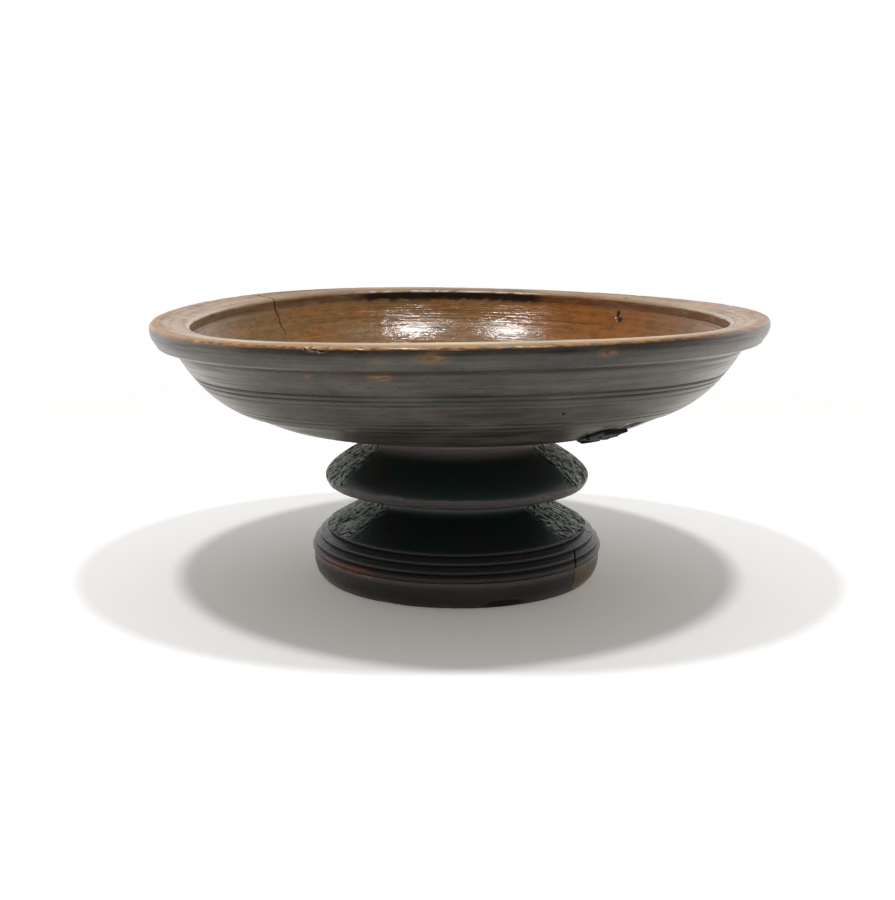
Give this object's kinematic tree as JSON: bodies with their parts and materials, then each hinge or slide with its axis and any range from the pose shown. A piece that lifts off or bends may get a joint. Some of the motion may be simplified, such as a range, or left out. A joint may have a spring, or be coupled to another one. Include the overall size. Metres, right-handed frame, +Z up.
{
  "type": "pedestal dairy bowl",
  "caption": "Shallow turned wooden bowl with a heavy flat rim, standing on a waisted pedestal of a disc and a reeded foot.",
  "frame": {"origin": "on the floor, under the middle of the rim's box", "axes": "+Z up, +X along the grain of the turned wood to the right of the front, -Y the front"},
  "size_m": [0.3602, 0.3472, 0.1596],
  "materials": {
    "bowl_wood": "worn satin patina, orange-brown inside",
    "pedestal_wood": "near-black old polish, torn end grain",
    "ring_wood": "dark rubbed polish",
    "insert_wood": "paler unstained repair wood",
    "joinery_wood": "raw split wood",
    "patch_wood": "rough, dry",
    "pin_iron": "rusty brown"
  },
  "bodies": {
    "root": {"bowl": "bowl_wood", "waist_disc": "pedestal_wood", "foot": "pedestal_wood", "foot_ring": "ring_wood", "foot_ring_insert": "insert_wood", "centre_spindle": "joinery_wood", "spindle_top_wedge": "joinery_wood", "spindle_foot_wedge": "joinery_wood", "ring_peg_1": "joinery_wood", "ring_peg_2": "joinery_wood", "ring_peg_3": "joinery_wood", "ring_peg_4": "joinery_wood", "ring_peg_5": "joinery_wood", "ring_peg_6": "joinery_wood", "underside_patch": "patch_wood", "patch_pin_1": "pin_iron", "patch_pin_2": "pin_iron", "patch_pin_3": "pin_iron"}
  },
  "joints": []
}
